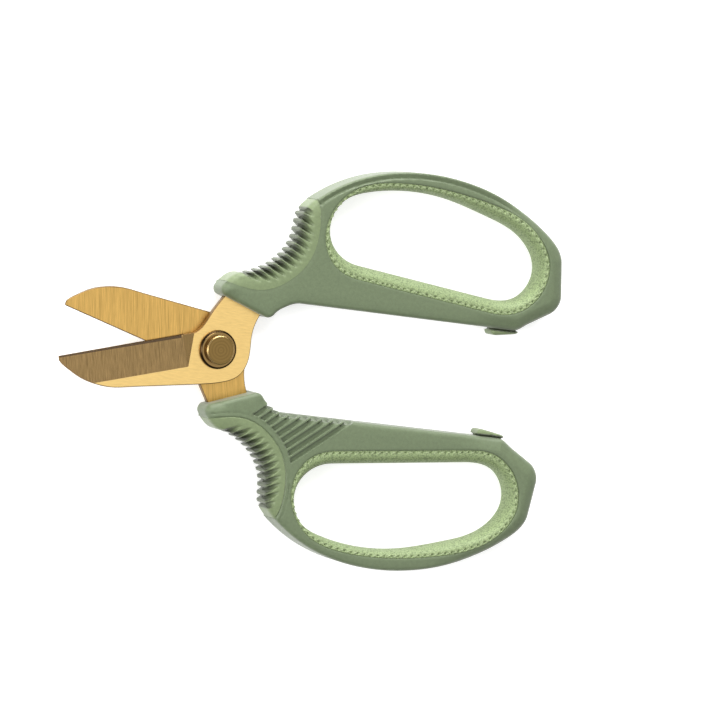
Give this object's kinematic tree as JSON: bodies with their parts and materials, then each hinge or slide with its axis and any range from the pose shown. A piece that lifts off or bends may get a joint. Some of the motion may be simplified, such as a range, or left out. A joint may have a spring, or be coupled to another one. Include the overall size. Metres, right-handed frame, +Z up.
{
  "type": "floral snips",
  "caption": "Hand snips for cut flowers: short wide gold-coated blades on a round pivot bolt, with two moulded finger loops, stitched loop liners and ribbed finger pads.",
  "frame": {"origin": "centre of the bounding box at rest, on the plane the tool lies on", "axes": "+X from the blade tips towards the finger loops, +Y towards the handle that carries the front blade, +Z up along the pivot bolt, from nut to head"},
  "size_m": [0.1802, 0.1378, 0.0124],
  "materials": {
    "gold_steel": "gold-coloured nitride coat over ground steel, fine grinding marks",
    "bronze_steel": "dark bronze-coloured plating, turned",
    "spring_steel": "plain spring steel",
    "nylon": "natural nylon",
    "core_plastic": "sage green moulding, fine spark texture",
    "liner_leather": "sage green leather-look cover, pebbled and stitched",
    "pad_rubber": "sage green soft moulding",
    "stop_rubber": "sage green soft buffer"
  },
  "bodies": {
    "front_half": {"front_blade": "gold_steel", "upper_core": "core_plastic", "upper_liner": "liner_leather", "upper_pad": "pad_rubber", "upper_stop": "stop_rubber", "pivot_bolt": "bronze_steel", "front_washer": "bronze_steel", "rear_washer": "bronze_steel", "spring_washer": "spring_steel", "pivot_nut": "bronze_steel", "nut_ring": "nylon"},
    "rear_half": {"rear_blade": "gold_steel", "lower_core": "core_plastic", "lower_liner": "liner_leather", "lower_pad": "pad_rubber", "lower_stop": "stop_rubber"}
  },
  "joints": [
    {"name": "pivot", "type": "hinge", "parent": "front_half", "child": "rear_half", "pos_m": [-0.03475, 0, 0.0062], "axis": [0, 0, 1], "range_deg": [-33, 18.2]}
  ]
}
